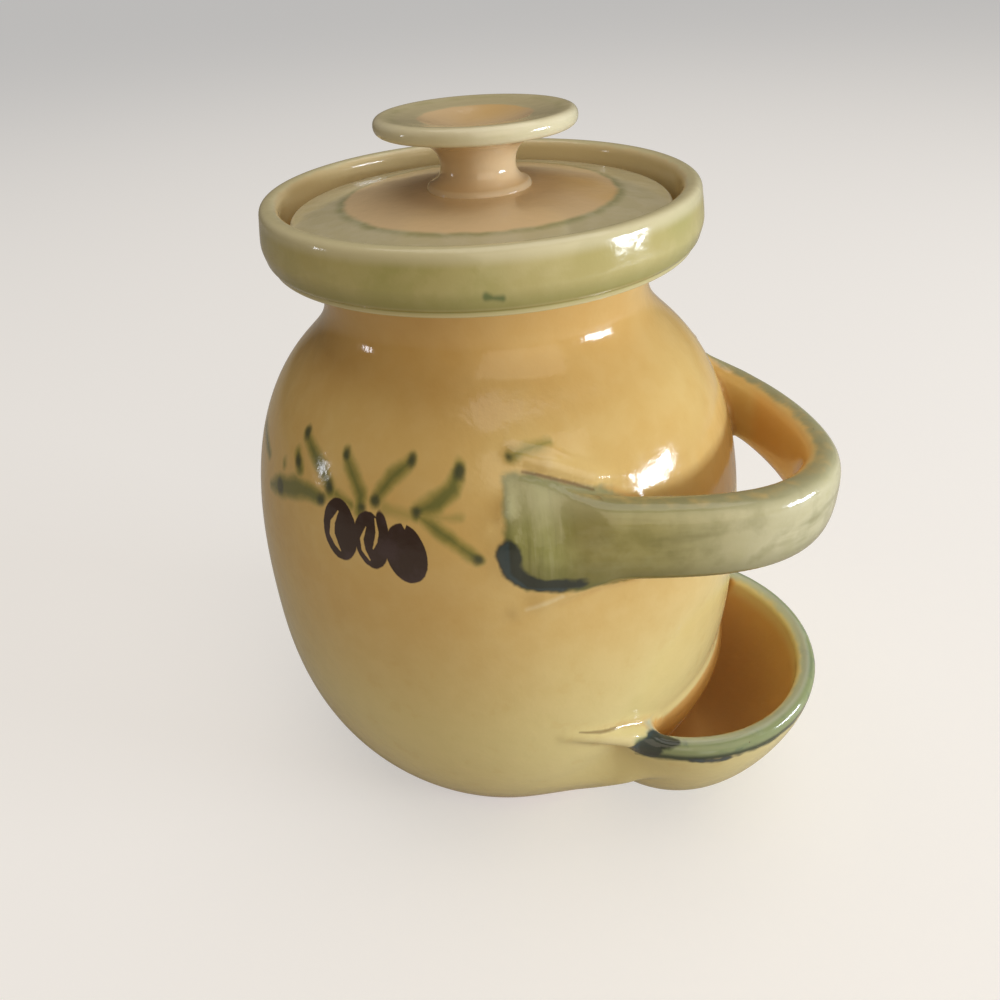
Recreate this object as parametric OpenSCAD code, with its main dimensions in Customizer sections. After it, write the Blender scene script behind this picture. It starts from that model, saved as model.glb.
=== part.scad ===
// Glazed earthenware olive jar with a sunk lid, a strap loop for the
// serving spoon and a drip cup below the loop.
// Millimetres. +Z up, origin on the jar's axis in the plane of the foot.
// The loop and the cup point along +X.

/* [Jar] */
// Height of the jar from the table to the crest of its rim
jar_h = 147; // [130:1:165]
// Widest diameter of the belly
belly_d = 115.4; // [100:0.2:130]
// Height of the widest place
belly_z = 56; // [45:1:68]
// Diameter where the wall meets the foot
base_d = 78; // [66:1:90]
// Diameter half way down the shoulder's slope
shoulder_d = 87; // [80:1:94]
// Distance of that place below the neck's narrowest place
shoulder_drop = 14; // [11:0.5:17]
// Narrowest outside diameter of the neck
neck_d = 67.8; // [64:0.2:72]
// Distance of the narrowest place below the rim
neck_drop = 7.4; // [5:0.2:10]
// Thickness of the thrown wall
wall = 5; // [4:0.25:6]
// Thickness of the floor
floor_t = 6; // [4:0.5:8]

/* [Foot] */
// Height of the turned foot ring
foot_h = 3; // [2:0.25:4]
// How far the foot ring draws in from the wall to the table
foot_taper = 1.6; // [0.6:0.2:4]
// Width of the foot ring
foot_w = 5.4; // [4:0.2:8]
// Bevel of the foot ring's two lower edges
foot_bevel = 0.7; // [0.4:0.1:1]

/* [Rim] */
// Height of the heavy rim
rim_h = 11.6; // [10:0.2:14]
// Thickness of the rim where it stands round the lid
rim_t = 4.5; // [3.8:0.1:6]
// Distance from the rim's inner face out to its crest
crest_in = 1.9; // [1.2:0.1:2.6]
// Height of the seat for the lid above the rim's underside
seat_t = 3.1; // [2.6:0.1:4]

/* [Lid] */
// Gap all round between the lid's edge and the rim
lid_gap = 1.3; // [0.6:0.1:2]
// How far the lid's edge reaches past the mouth, over the seat
lid_over = 8.5; // [6:0.1:11]
// Gap left under the lid, for glaze and grit
seat_gap = 0.3; // [0.3:0.05:0.6]
// Thickness of the lid at its edge
lid_edge_t = 4.3; // [3.5:0.1:5]
// Height that the lid rises from its edge to the knob
lid_rise = 3.2; // [1:0.1:5]
// Distance from the mouth out to the flat ring that the lid stands on
land_in = 0.9; // [0.5:0.1:2]
// Depth hollowed out of the lid's underside
lid_hollow = 2.4; // [1:0.1:3]

/* [Knob] */
// Height of the knob above the lid
knob_h = 13.7; // [11:0.1:18]
// Diameter of the knob's flared rim
knob_d = 39; // [32:0.5:44]
// Thickness of the knob's flared rim
knob_rim_t = 3.1; // [2.4:0.1:4]
// Diameter of the knob's neck
knob_neck_d = 14.8; // [12:0.2:18]
// Diameter of the knob's foot on the lid
knob_foot_d = 21; // [18:0.5:24]
// Depth of the dish in the knob's top
dish_depth = 3.4; // [1:0.2:5]

/* [Strap loop] */
// How far the loop's middle line stands out from the belly
loop_out = 14.9; // [11:0.1:20]
// Height of the loop's outer end above the table
loop_z = 91.8; // [84:0.2:98]
// Angle from +X to the strap's end at -Y
near_a = 58; // [50:1:64]
// Angle by which the strap at -Y leans in towards +X
near_lean_a = 35; // [20:1:45]
// Length of strap at -Y that lies along the wall
near_lie = 22; // [14:1:28]
// How full the loop is at -Y
near_full = 22; // [10:1:28]
// Rise from the loop's outer end to the end at -Y
near_rise = 5; // [0:0.1:12]
// Angle from +X to the strap's end at +Y
far_a = 49; // [44:1:58]
// Angle by which the strap at +Y leans in towards +X
far_lean_a = 11; // [0:1:30]
// Length of strap at +Y that leaves the wall straight
far_lie = 18; // [14:1:28]
// How full the loop is at +Y
far_full = 12; // [10:1:28]
// Width of the strap at -Y, measured upright
strap_w = 16.8; // [13:0.2:20]
// Width of the strap at +Y, where it was pulled thinner
far_w = 14; // [12:0.2:18]
// Thickness of the strap
strap_t = 8.2; // [6:0.2:10]
// Width of the strap where it spreads on the wall
spread_w = 25.6; // [18:0.2:32]
// Thickness of the strap at its two ends, where it runs out in the wall
spread_t = 4.6; // [3:0.2:10]

/* [Drip cup] */
// How far the cup's axis lies inside the belly's outline
cup_sink = 10.8; // [8:0.1:14]
// Outside diameter of the cup's rim
cup_d = 67.4; // [60:0.2:72]
// Height of the cup's rim above the table
cup_h = 40.9; // [36:0.1:46]
// Thickness of the cup's wall
cup_wall = 4.2; // [3.5:0.1:5]
// Gap between the cup's flat bottom and the table
cup_lift = 2; // [1.5:0.1:4]
// Diameter of the cup's flat bottom
cup_base_d = 22; // [16:0.5:28]

/* [Hidden] */
$fn = 96;

glaze_yellow = [0.82, 0.62, 0.28];
glaze_green = [0.60, 0.58, 0.34];
bare_clay = [0.73, 0.50, 0.36];

belly_r = belly_d / 2;
base_r = base_d / 2;
shoulder_r = shoulder_d / 2;
neck_r = neck_d / 2;
foot_r = base_r - foot_taper;
under_z = jar_h - rim_h;
seat_z = under_z + seat_t;
neck_z = under_z - neck_drop;
shoulder_z = neck_z - shoulder_drop;
neck_top_r = neck_r + (under_z - neck_z) / 10;
mouth_r = neck_top_r - wall;
lid_r = mouth_r + lid_over;
gallery_r = lid_r + lid_gap;
rim_r = gallery_r + rim_t;
crest_r = gallery_r + crest_in;
knob_r = knob_d / 2;
loop_reach = belly_r + loop_out;
cup_x = belly_r - cup_sink;
floor_z = foot_h + floor_t;
lid_z0 = seat_z + seat_gap;
lid_edge_z = lid_z0 + lid_edge_t;
lid_top_z = lid_edge_z + lid_rise;
knob_top_z = lid_top_z + knob_h;
cup_r = cup_d / 2;

// A point on a cubic curve through p[0] and p[3], pulled by p[1] and p[2]
function curve_at(p, t) = pow(1 - t, 3) * p[0] + 3 * t * pow(1 - t, 2) * p[1]
    + 3 * t * t * (1 - t) * p[2] + pow(t, 3) * p[3];
// Points of that curve, from its start up to its end
function curve(p, n) = [for (i = [0:n]) curve_at(p, i / n)];
// The same points without the first, to follow on from another curve
function follow(p, n) = [for (i = [1:n]) curve_at(p, i / n)];
// Points of a round corner about (x, z), from angle a to angle b
function corner(x, z, r, a, b, n) = [for (i = [0:n])
    [x + r * cos(a + (b - a) * i / n), z + r * sin(a + (b - a) * i / n)]];

// Outside of the wall from the foot up to the rim, as radius and height
flank = curve([[base_r, foot_h], [base_r + 9, foot_h + 13],
               [belly_r, belly_z / 2], [belly_r, belly_z]], 14);
shoulder = follow([[belly_r, belly_z], [belly_r, belly_z + 20],
                   [belly_r - 1.2, shoulder_z - 14], [shoulder_r, shoulder_z]], 14);
throat = follow([[shoulder_r, shoulder_z], [shoulder_r - 4, shoulder_z + 4.3],
                 [neck_r, neck_z - 6.5], [neck_r, neck_z]], 8);
skin = concat(flank, shoulder, throat, [[neck_top_r, under_z]]);

// The wall's inside: each outer point moved in by the wall's thickness
last = len(skin) - 1;
function slope(i) = let (d = skin[min(i + 1, last)] - skin[max(i - 1, 0)]) d / norm(d);
lining = [for (i = [last:-1:0])
    let (q = skin[i] + wall * [-slope(i)[1], slope(i)[0]])
    if (q[1] > floor_z + 5 && q[1] < neck_z - 3) q];
floor_r = lining[len(lining) - 1][0];

// Solid that fills the jar's outline, to cut what is joined to the wall
module outline_solid() {
    rotate_extrude()
        polygon(concat([[0, -1], [foot_r, -1], [foot_r, 0]], skin,
                       [[neck_top_r, jar_h], [0, jar_h]]));
}

// Thrown wall, shoulder, neck and floor in one
module jar_body() {
    color(glaze_yellow)
    rotate_extrude()
        polygon(concat([[0, foot_h]], skin,
                       [[mouth_r, under_z], [mouth_r, neck_z - 1]], lining,
                       [[floor_r - 4, floor_z + 0.8], [floor_r - 9, floor_z], [0, floor_z]]));
}

// Turned ring that stands on the table, wiped free of glaze
module foot_ring() {
    inner = foot_r - foot_w;
    color(bare_clay)
    rotate_extrude()
        polygon([[inner - 0.5, foot_h], [inner, foot_bevel], [inner + foot_bevel, 0],
                 [foot_r - foot_bevel, 0], [foot_r, foot_bevel], [base_r, foot_h]]);
}

// Heavy rim with the sunk seat that the lid rests on
module rim_gallery() {
    low = curve([[crest_r - 0.3, under_z], [rim_r - 1, under_z],
                 [rim_r, under_z + 1.6], [rim_r, under_z + rim_h / 2]], 8);
    high = follow([[rim_r, under_z + rim_h / 2], [rim_r, jar_h - 2.2],
                   [crest_r + 1.2, jar_h], [crest_r, jar_h]], 8);
    lip = follow([[crest_r, jar_h], [gallery_r + 0.4, jar_h],
                  [gallery_r, jar_h - 0.9], [gallery_r, jar_h - 2]], 6);
    color(glaze_green)
    rotate_extrude()
        polygon(concat([[mouth_r, under_z]], low, high, lip,
                       [[gallery_r, seat_z + 0.8], [gallery_r - 0.8, seat_z],
                        [mouth_r + 1, seat_z], [mouth_r, seat_z - 1]]));
}

// Middle line of the strap: from the wall at +Y, out to +X and back at -Y
wall_r = belly_r - 6;
loop_tip = [loop_reach, 0];
function arm(a, lie, lean, full) = let (root = wall_r * [cos(a), sin(a)])
    [root, root + lie * [cos(lean), -sin(lean)], [loop_reach, full], loop_tip];
loop_n = 18;
far_arm = curve(arm(far_a, far_lie, far_lean_a, far_full), loop_n);
near_arm = curve(arm(near_a, near_lie, near_lean_a, near_full), loop_n);
loop_path = concat(far_arm, [for (i = [loop_n - 1:-1:0]) [near_arm[i][0], -near_arm[i][1]]]);
loop_last = 2 * loop_n;

// Share of the spread at a place on the path: 1 on the wall, 0 along the strap
function spread(i) = let (d = min(norm(loop_path[i] - loop_path[0]),
                                  norm(loop_path[i] - loop_path[loop_last])))
    pow(max(0, 1 - d / 20), 2);
// Height of the strap's middle at a place on the path
function rise(i) = i < loop_n ? 0
    : near_rise * (loop_reach - loop_path[i][0]) / (loop_reach - near_arm[0][0]);
// Width along the strap before it spreads
function width(i) = far_w + (strap_w - far_w) * min(1, i / loop_n);
// Rounded oblong section: out from the middle line, and up
section_n = 22;
function oblong(c) = sign(c) * pow(abs(c), 0.72);

function strap_points() = [for (i = [0:loop_last])
    let (d = loop_path[min(i + 1, loop_last)] - loop_path[max(i - 1, 0)],
         out = [-d[1], d[0]] / norm(d),
         t = strap_t + (spread_t - strap_t) * spread(i),
         w = width(i) + (spread_w - width(i)) * spread(i))
    for (j = [0:section_n - 1])
        let (a = 360 * j / section_n,
             p = loop_path[i] + out * oblong(cos(a)) * t / 2)
        [p[0], p[1], loop_z + rise(i) + oblong(sin(a)) * w / 2]];

// Strap that stands out from the shoulder as a loop, cut to the wall
module strap_loop() {
    n = section_n;
    sides = [for (i = [0:loop_last - 1]) for (j = [0:n - 1])
        let (a = i * n + j, b = i * n + (j + 1) % n) each [[a, b, b + n], [a, b + n, a + n]]];
    caps = [[for (j = [n - 1:-1:0]) j], [for (j = [0:n - 1]) loop_last * n + j]];
    color(glaze_green)
    difference() {
        polyhedron(strap_points(), concat(sides, caps), convexity = 6);
        outline_solid();
    }
}

// Open cup that catches drips from the spoon, cut to the wall
module drip_cup() {
    lip_r = cup_wall / 2;
    lip_z = cup_h - lip_r;
    base = cup_base_d / 2;
    bowl = curve([[cup_r, lip_z], [cup_r, lip_z - 9],
                  [base + 10, cup_lift], [base, cup_lift]], 12);
    hollow = curve([[base - 1, cup_lift + cup_wall], [base + 8.5, cup_lift + cup_wall],
                    [cup_r - cup_wall, lip_z - 9], [cup_r - cup_wall, lip_z]], 12);
    lip = corner(cup_r - lip_r, lip_z, lip_r, 180, 0, 8);
    color(glaze_yellow)
    difference() {
        translate([cup_x, 0, 0])
            rotate_extrude()
                polygon(concat([[0, cup_lift]], [for (i = [len(bowl) - 1:-1:1]) bowl[i]],
                               [for (i = [8:-1:0]) lip[i]],
                               [for (i = [len(hollow) - 2:-1:0]) hollow[i]],
                               [[0, cup_lift + cup_wall]]));
        outline_solid();
    }
}

// Low domed lid that sits inside the rim
module lid_plate() {
    land_r = mouth_r + land_in;
    dome = curve([[lid_r - 0.9, lid_edge_z], [lid_r - 12, lid_edge_z + 1.9],
                  [knob_foot_d / 2 + 10, lid_top_z - 0.5], [knob_foot_d / 2, lid_top_z]], 10);
    color(glaze_yellow)
    rotate_extrude()
        polygon(concat([[0, lid_top_z]], [for (i = [10:-1:0]) dome[i]],
                       [[lid_r, lid_edge_z - 1], [lid_r, lid_z0 + 0.8], [lid_r - 0.8, lid_z0],
                        [land_r, lid_z0], [land_r - 3, lid_z0 + lid_hollow],
                        [0, lid_z0 + lid_hollow + 0.4]]));
}

// Trumpet-shaped knob with a dished top
module lid_knob() {
    foot = knob_foot_d / 2;
    waist = knob_neck_d / 2;
    waist_z = lid_top_z + knob_h * 0.28;
    rim_z = knob_top_z - knob_rim_t;
    stem = concat(curve([[foot, lid_top_z], [waist + 1.4, lid_top_z + 0.4],
                         [waist, waist_z - 1.6], [waist, waist_z]], 7),
                  follow([[waist, waist_z], [waist, waist_z + 4.4],
                          [knob_r - 8, rim_z - 1.2], [knob_r - 1, rim_z]], 10));
    lip = concat(follow([[knob_r - 1, rim_z], [knob_r - 0.2, rim_z + 0.3],
                         [knob_r, rim_z + 0.9], [knob_r, rim_z + knob_rim_t / 2]], 4),
                 follow([[knob_r, rim_z + knob_rim_t / 2], [knob_r, knob_top_z - 0.5],
                         [knob_r - 0.8, knob_top_z], [knob_r - 1.6, knob_top_z]], 4));
    dish = follow([[knob_r - 1.6, knob_top_z], [knob_r - 6, knob_top_z - 0.6],
                   [waist, knob_top_z - dish_depth], [0, knob_top_z - dish_depth]], 9);
    color(glaze_yellow)
    rotate_extrude()
        polygon(concat([[0, lid_top_z]], stem, lip, dish));
}

jar_body();
foot_ring();
rim_gallery();
strap_loop();
drip_cup();
lid_plate();
lid_knob();
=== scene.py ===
"""Glazed earthenware olive jar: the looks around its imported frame.

Shapes are worked out in millimetres and set down in metres.
"""

import math

import bpy
import numpy as np
from mathutils import Matrix, Vector


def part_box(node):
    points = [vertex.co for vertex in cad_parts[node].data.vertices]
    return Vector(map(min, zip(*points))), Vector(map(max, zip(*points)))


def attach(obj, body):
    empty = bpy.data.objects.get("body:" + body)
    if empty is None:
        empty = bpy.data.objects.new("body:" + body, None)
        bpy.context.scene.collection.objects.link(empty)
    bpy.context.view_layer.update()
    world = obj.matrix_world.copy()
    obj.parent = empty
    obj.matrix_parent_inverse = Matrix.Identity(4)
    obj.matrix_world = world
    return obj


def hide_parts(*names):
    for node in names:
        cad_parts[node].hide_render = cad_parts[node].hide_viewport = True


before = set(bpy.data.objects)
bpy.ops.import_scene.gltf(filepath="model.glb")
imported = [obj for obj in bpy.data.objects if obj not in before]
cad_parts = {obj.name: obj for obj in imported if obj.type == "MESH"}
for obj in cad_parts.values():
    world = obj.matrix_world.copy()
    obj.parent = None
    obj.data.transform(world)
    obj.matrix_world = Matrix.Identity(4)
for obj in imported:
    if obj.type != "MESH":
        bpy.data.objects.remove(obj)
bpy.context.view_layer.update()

MM = 0.001
# A gap wider than any that matters
FAR = 60.0


def corners_of(node):
    """Lowest and highest corner of a CAD node in millimetres."""
    low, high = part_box(node)
    return np.array(low) / MM, np.array(high) / MM


wall_low, wall_high = corners_of("jar_body")
_, foot_high = corners_of("foot_ring")
_, rim_high = corners_of("rim_gallery")
_, strap_high = corners_of("strap_loop")
cup_low, cup_high = corners_of("drip_cup")
lid_low, lid_high = corners_of("lid_plate")
knob_low, knob_high = corners_of("lid_knob")

# Thrown wall
belly_r = wall_high[0]
foot_z = wall_low[2]
base_r = foot_high[0]
under_z = wall_high[2]
BELLY_Z = 56.0
SHOULDER_R, SHOULDER_Z = 43.5, 114.0
NECK_R, NECK_Z = 33.9, 128.0
WALL_T = 5.0
FLOOR_T = 6.0
neck_top_r = NECK_R + (under_z - NECK_Z) / 10
mouth_r = neck_top_r - WALL_T
# How far the wall reaches up inside the rim, out of sight
ROOTED = 1.6

# Rim
jar_h = rim_high[2]
rim_r = rim_high[0]
RIM_T = 4.5
CREST_IN = 1.9
SEAT_T = 3.1
gallery_r = rim_r - RIM_T
crest_r = gallery_r + CREST_IN
seat_z = under_z + SEAT_T

# Strap
STRAP_T = 8.2
STRAP_W, FAR_W = 16.8, 14.0
# Its ends are spread wide and thin over this length, and the last bit is thinned once more
SPREAD_W, SPREAD_T = 25.6, 4.6
SPREAD_RUN = 20.0
END_THIN, END_RUN = 1.7, 4.5
STRAP_Z = 91.8
NEAR_RISE = 5.0
STRAP_ROOT_R = belly_r - 6
# Where the wall lies further in than this, the strap's ends lean in with it
LEAN_R = STRAP_ROOT_R + 2.4
loop_reach = strap_high[0] - STRAP_T / 2
# Angle from +X, length along the wall, lean and fullness of each arm
NEAR_ARM = (58.0, 22.0, 35.0, 22.0)
FAR_ARM = (49.0, 18.0, 11.0, 12.0)
# The section is an oblong with round corners, |x|^n + |y|^n = 1
OBLONG = 2 / 0.72

# Cup
cup_r = cup_high[1]
cup_x = cup_high[0] - cup_r
cup_h = cup_high[2]
cup_lift = cup_low[2]
CUP_T = 4.2
CUP_BASE_R = 11.0
lip_r = CUP_T / 2

# Lid and knob
lid_r = lid_high[0]
lid_z0 = lid_low[2]
lid_top_z = knob_low[2]
LID_EDGE_T = 4.3
LID_HOLLOW = 2.4
LAND_IN = 0.9
knob_r = knob_high[0]
knob_top_z = knob_high[2]
KNOB_FOOT_R = 10.5
KNOB_NECK_R = 7.4
KNOB_RIM_T = 3.1
DISH_DEPTH = 3.4
DISH_R = 11.0

# Fillets where clay meets clay. The strap's widens to its second value at the ends; the cup's has a
# least and a most, first inside the cup and then below it
PRESSED_FILLET = 2.2
STRAP_FILLET = (4.5, 9.5)
LIP_FILLET = 3.0
CUP_FILLET_IN, CUP_FILLET_UNDER = (2.5, 5.5), (5, 23)
CREASE_FILLET = 1.4

# Size of the mesh cells on the jar's skin
CELL = 1.02


def bend(*pulls, steps=24):
    """Points of a cubic curve through its first and last point."""
    a, b, c, d = (np.array(p, float) for p in pulls)
    t = np.linspace(0, 1, steps + 1)[:, None]
    return (1 - t) ** 3 * a + 3 * t * (1 - t) ** 2 * b + 3 * t * t * (1 - t) * c + t**3 * d


def run_on(*lines):
    """Joins lines of points end to end, each shared point once."""
    kept = [np.atleast_2d(np.array(lines[0], float))]
    for line in lines[1:]:
        line = np.atleast_2d(np.array(line, float))
        start = 1 if np.allclose(kept[-1][-1], line[0], atol=1e-6) else 0
        kept.append(line[start:])
    return np.vstack(kept)


def ease(x, low, high):
    """0 below low, 1 above high and a smooth rise between."""
    t = np.clip((x - low) / (high - low), 0, 1)
    return t * t * (3 - 2 * t)


# Outside of the thrown wall, as radius and height
skin = run_on(
    bend((base_r, foot_z), (base_r + 9, foot_z + 13), (belly_r, BELLY_Z / 2), (belly_r, BELLY_Z)),
    bend((belly_r, BELLY_Z), (belly_r, BELLY_Z + 20),
         (belly_r - 1.2, SHOULDER_Z - 14), (SHOULDER_R, SHOULDER_Z)),
    bend((SHOULDER_R, SHOULDER_Z), (SHOULDER_R - 4, SHOULDER_Z + 4.3),
         (NECK_R, NECK_Z - 6.5), (NECK_R, NECK_Z)),
    [(neck_top_r, under_z), (neck_top_r + 0.2, under_z + ROOTED)],
)
wall_rings = np.linspace(foot_z, under_z + ROOTED, 500)
wall_radii = np.interp(wall_rings, skin[:, 1], skin[:, 0])
for _ in range(12):
    wall_radii[1:-1] = (wall_radii[:-2] + 2 * wall_radii[1:-1] + wall_radii[2:]) / 4
wall_lean = 1 / np.hypot(1, np.gradient(wall_radii, wall_rings))


def between(ends, share):
    """Value that a share gives between two ends."""
    return ends[0] + (ends[1] - ends[0]) * share


def near_line(p, line):
    """Nearest place on an open line: distance, length along it and, on a plane, the side."""
    best = np.full(len(p), np.inf)
    run = np.zeros(len(p))
    side = np.ones(len(p))
    start = 0.0
    for a, b in zip(line[:-1], line[1:]):
        d = b - a
        length = np.linalg.norm(d)
        h = np.clip((p - a) @ d / length**2, 0, 1)
        off = p - a - h[:, None] * d
        gap = np.einsum("ij,ij->i", off, off)
        nearer = gap < best
        best[nearer] = gap[nearer]
        run[nearer] = (start + h * length)[nearer]
        if p.shape[1] == 2:
            side[nearer] = np.sign(d[1] * off[:, 0] - d[0] * off[:, 1])[nearer]
        start += length
    return np.sqrt(best), run, side


def melt(a, b, k):
    """Least of two gaps with a fillet between them, about k wide."""
    h = np.clip(1 - np.abs(a - b) / k, 0, 1)
    return np.minimum(a, b) - h**3 * k / 6


def wall_gap(p):
    """Distance outside the thrown wall, below zero inside its outline."""
    r = np.hypot(p[:, 0], p[:, 1])
    z = p[:, 2]
    side = (r - np.interp(z, wall_rings, wall_radii)) * np.interp(z, wall_rings, wall_lean)
    return np.maximum(side, np.maximum(foot_z - z, z - under_z - ROOTED))


def arm(angle, lie, lean, full):
    """Middle line of half the strap in plan, from the wall out to the tip."""
    a, b = math.radians(angle), math.radians(lean)
    root = STRAP_ROOT_R * np.array([math.cos(a), math.sin(a)])
    out = root + lie * np.array([math.cos(b), -math.sin(b)])
    return bend(root, out, (loop_reach, full), (loop_reach, 0), steps=32)


near_arm = arm(*NEAR_ARM) * (1, -1)
far_arm = arm(*FAR_ARM)
strap_line = run_on(near_arm, far_arm[::-1])
strap_runs = np.r_[0, np.cumsum(np.linalg.norm(np.diff(strap_line, axis=0), axis=1))]
near_length = strap_runs[len(near_arm) - 1]
strap_length = strap_runs[-1]


def strap_place(p):
    """Length along the strap from its end at -Y, distance out from its middle line, and height."""
    gap, run, side = near_line(p[:, :2], strap_line)
    x = np.interp(run, strap_runs, strap_line[:, 0])
    rise = np.where(run < near_length,
                    NEAR_RISE * (loop_reach - x) / (loop_reach - near_arm[0][0]), 0)
    return run, gap * side, p[:, 2] - STRAP_Z - rise


def strap_size(run):
    """Width and thickness of the strap, which flattens out towards its ends."""
    flat = np.clip(1 - np.minimum(run, strap_length - run) / SPREAD_RUN, 0, 1) ** 2
    past_tip = np.clip((run - near_length) / (strap_length - near_length), 0, 1)
    width = STRAP_W + (FAR_W - STRAP_W) * past_tip
    thick = STRAP_T + (SPREAD_T - STRAP_T) * flat - END_THIN * ease(-run, -END_RUN, 0)
    return width + (SPREAD_W - width) * flat, thick


def strap_gap(p):
    """Distance outside the strap, whose ends are smeared onto the shoulder and follow it inward."""
    run, out, up = strap_place(p)
    width, thick = strap_size(run)
    near_end = 1 - ease(np.minimum(run, strap_length - run), 5, 18)
    sunk = near_end * np.maximum(LEAN_R - np.interp(p[:, 2], wall_rings, wall_radii), 0)
    out = np.maximum(np.abs(out), out + sunk)
    a, b = out / (thick / 2), np.abs(up) / (width / 2)
    reach = np.maximum((a**OBLONG + b**OBLONG) ** (1 / OBLONG), 1e-3)
    return np.hypot(out, up) * (1 - 1 / reach)


# Middle of the cup's wall, as distance from the cup's axis and height
bowl = run_on(
    [(0.0, cup_lift + lip_r)],
    bend((CUP_BASE_R - 0.5, cup_lift + lip_r), (CUP_BASE_R + 9.3, cup_lift + lip_r),
         (cup_r - lip_r, cup_h - lip_r - 9), (cup_r - lip_r, cup_h - lip_r), steps=20),
)


def cup_place(p):
    """Distance from the cup's axis, angle round it from +X, and height."""
    x, y = p[:, 0] - cup_x, p[:, 1]
    return np.hypot(x, y), np.arctan2(y, x), p[:, 2]


def cup_gap(p):
    """Distance outside the cup's wall, which is one thickness with a round lip."""
    r, _, z = cup_place(p)
    gap, _, _ = near_line(np.stack([r, z], 1), bowl)
    return gap - lip_r


def coil_gap(p, line, thick):
    """Distance outside a coil of clay that runs along a line and thins out."""
    best = np.full(len(p), FAR)
    for a, b, t0, t1 in zip(line[:-1], line[1:], thick[:-1], thick[1:]):
        d = b - a
        h = np.clip((p - a) @ d / (d @ d), 0, 1)
        gap = np.linalg.norm(p - a - h[:, None] * d, axis=1) - (t0 + (t1 - t0) * h)
        best = np.minimum(best, gap)
    return best


def on_wall(degrees, z, proud=0.0):
    """Place on the jar's outside at an angle from +X and a height."""
    r = np.interp(z, wall_rings, wall_radii) + proud
    a = math.radians(degrees)
    return np.array([r * math.cos(a), r * math.sin(a), z])


# Ends of the cup's lip, pinched onto the wall: angle, height, stand and radius
LIP_END = [(31, 39.6, 2.0, 2.2), (36, 42.0, 1.3, 2.3), (41, 44.2, 0.2, 2.0),
           (46, 46.2, -0.5, 1.4), (50, 47.4, -0.9, 0.8)]
# Clay smeared on the wall inside the cup: the height of its edge, the angle from which the edge
# climbs to the ends of the lip, its climb for each degree, and the clay's thickness
SMEAR_Z, SMEAR_FROM, SMEAR_CLIMB, SMEAR_T = 39.4, 24, 0.52, 2.6
# Clay pressed down above and below the strap's ends, and the crease left under the upper one
PRESSED_ABOVE = [(57, 110.6, -1.3, 1.5), (50, 109.0, -0.9, 1.9), (41, 105.6, -0.9, 1.7),
                 (33, 103.8, -1.8, 1.0)]
PRESSED_BELOW = [(59, 83.2, -0.8, 0.8), (54, 85.0, -0.5, 1.2), (48, 86.7, -0.3, 1.5),
                 (43, 88.0, -0.3, 1.6)]
STRAP_CREASE = [(55.6, 108.8, 0.5, 0.3), (50.5, 107.4, 0.9, 0.55), (45.4, 105.8, 1.4, 0.6),
                (41, 104.2, 1.8, 0.3)]


def coils(rows, side):
    """Line and radii of a coil given by angles on one side of the jar."""
    return (np.array([on_wall(side * a, z, proud) for a, z, proud, _ in rows]),
            np.array([t for *_, t in rows]))


lip_ends = [coils(LIP_END, side) for side in (-1, 1)]
strap_creases = [coils(STRAP_CREASE, side) for side in (-1, 1)]
pressed = [coils(rows, side) for rows in (PRESSED_ABOVE, PRESSED_BELOW) for side in (-1, 1)]


def only_near(p, low, high, gap):
    """Works out a gap only inside a box, where it matters."""
    d = np.full(len(p), FAR)
    near = ((p > low) & (p < high)).all(1)
    if near.any():
        d[near] = gap(p[near])
    return d


# Lowest and highest corner of the boxes that hold the strap and the cup with their fillets
STRAP_BOX = (np.array([10, -60, 76]), np.array([90, 60, 116]))
CUP_BOX = (np.array([8, -46, -6]), np.array([90, 46, 54]))


def join_coils(gap, p, box, lines, fillet):
    """Joins coils of clay onto a shape, each blended in with a fillet."""
    for line, thick in lines:
        coil = only_near(p, *box, lambda q: coil_gap(q, line, thick))
        gap = melt(gap, coil, fillet)
    return gap


def round_wall(p):
    """Angle round the jar from +X to either side, in degrees."""
    return np.degrees(np.arctan2(np.abs(p[:, 1]), p[:, 0]))


def smear_edge(p):
    """Height of the upper edge of the clay smeared inside the cup."""
    return SMEAR_Z + SMEAR_CLIMB * np.maximum(round_wall(p) - SMEAR_FROM, 0)


def clay_gap(p):
    """Distance outside the jar with its strap and cup joined on."""
    gap = wall_gap(p)
    r, _, z = cup_place(p)
    # Clay smeared on the wall inside the cup, from halfway up to the edge that climbs to the lip
    inside_cup = ease(cup_r - r, -1, 4) * ease(p[:, 0], 20, 30) * ease(z, 10, 24)
    gap = gap - SMEAR_T * inside_cup * ease(smear_edge(p) + 2 - z, 0, 8)
    gap = join_coils(gap, p, STRAP_BOX, pressed, PRESSED_FILLET)
    strap = only_near(p, *STRAP_BOX, strap_gap)
    gap = melt(gap, strap, between(STRAP_FILLET, ease(round_wall(p), 46, 57)))
    gap = join_coils(gap, p, CUP_BOX, lip_ends, LIP_FILLET)
    cup = only_near(p, *CUP_BOX, cup_gap)
    fillet_in = between(CUP_FILLET_IN, ease(-z, -38, -30))
    fillet_under = between(CUP_FILLET_UNDER, ease(-z, -37, -22))
    under = ease(r, cup_r - lip_r - 3, cup_r)
    gap = melt(gap, cup, (1 - under) * fillet_in + under * fillet_under)
    # Joined to what lies outside the clay, a coil is cut out of it
    return -join_coils(-gap, p, STRAP_BOX, strap_creases, CREASE_FILLET)


def slopes(gap, p):
    """Distances and their gradients."""
    d = gap(p)
    step = 0.02
    g = np.stack([(gap(p + step * np.eye(3)[i]) - d) / step for i in range(3)], 1)
    return d, g


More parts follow.
